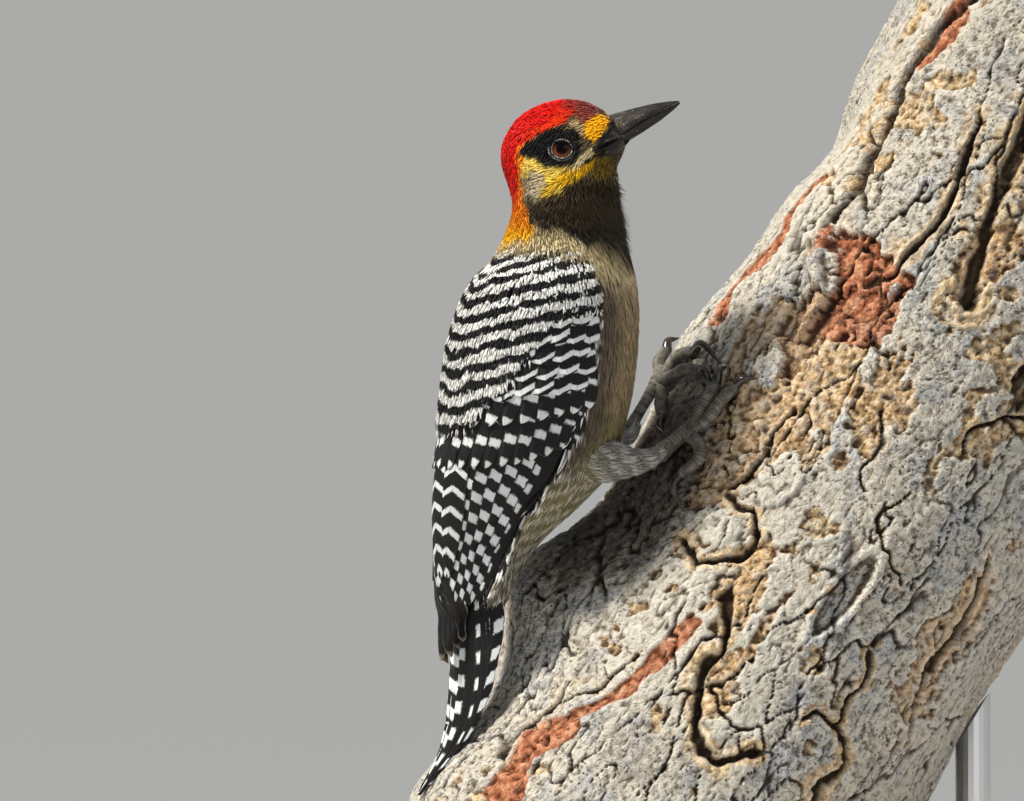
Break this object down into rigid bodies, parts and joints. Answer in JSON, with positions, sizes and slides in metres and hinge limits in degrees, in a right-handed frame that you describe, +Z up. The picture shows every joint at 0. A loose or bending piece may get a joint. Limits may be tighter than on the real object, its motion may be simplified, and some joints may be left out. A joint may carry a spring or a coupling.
{
  "type": "woodpecker on a trunk perch",
  "caption": "Life-size still model of a male golden-cheeked woodpecker clinging to a cut length of leaning trunk, tail propped on the bark, held by rods on a flat display base.",
  "frame": {"origin": "middle of the underside of the stand's flat base", "axes": "+Z up; +X the way the bill points and the trunk leans; -Y the bird's right side; the bird's back faces -X and partly -Y"},
  "size_m": [0.2551, 0.1687, 0.2906],
  "materials": {
    "plumage_crown": "short silky feathers: red crown, golden cheek and nape, black round the eye",
    "plumage_soft": "soft body feathers: grey-buff breast, black and white barred back, olive-yellow barred belly",
    "plumage_barred": "smooth wing coverts, black with white bars and spots",
    "quills": "stiff black flight and tail quills with white bars, low sheen",
    "bill_horn": "dark grey horn, satin",
    "eye": "wet glossy eye: chestnut iris, black pupil",
    "leg_skin": "grey scaled skin of tarsus and toes",
    "claw_horn": "dark curved claw horn, satin",
    "bark": "pale flaking bark with deep cracks, tan and rust patches; sawn ends show the grain",
    "stand_board": "dark stained hardwood board, satin varnish",
    "stand_rod": "brushed steel rod"
  },
  "bodies": {
    "root": {"bill_lower": "bill_horn", "bill_upper": "bill_horn", "body": "plumage_soft", "claw_1_left": "claw_horn", "claw_1_right": "claw_horn", "claw_2_left": "claw_horn", "claw_2_right": "claw_horn", "claw_3_left": "claw_horn", "claw_3_right": "claw_horn", "claw_4_left": "claw_horn", "claw_4_right": "claw_horn", "eye_left": "eye", "eye_right": "eye", "head": "plumage_crown", "neck": "plumage_crown", "perch": "bark", "stand_base": "stand_board", "stand_rod_high": "stand_rod", "stand_rod_low": "stand_rod", "tail": "quills", "tarsus_left": "leg_skin", "tarsus_right": "leg_skin", "thigh_left": "plumage_soft", "thigh_right": "plumage_soft", "toe_1_left": "leg_skin", "toe_1_right": "leg_skin", "toe_2_left": "leg_skin", "toe_2_right": "leg_skin", "toe_3_left": "leg_skin", "toe_3_right": "leg_skin", "toe_4_left": "leg_skin", "toe_4_right": "leg_skin", "wing_coverts_left": "plumage_barred", "wing_coverts_right": "plumage_barred", "wing_quills_left": "quills", "wing_quills_right": "quills"}
  },
  "joints": []
}
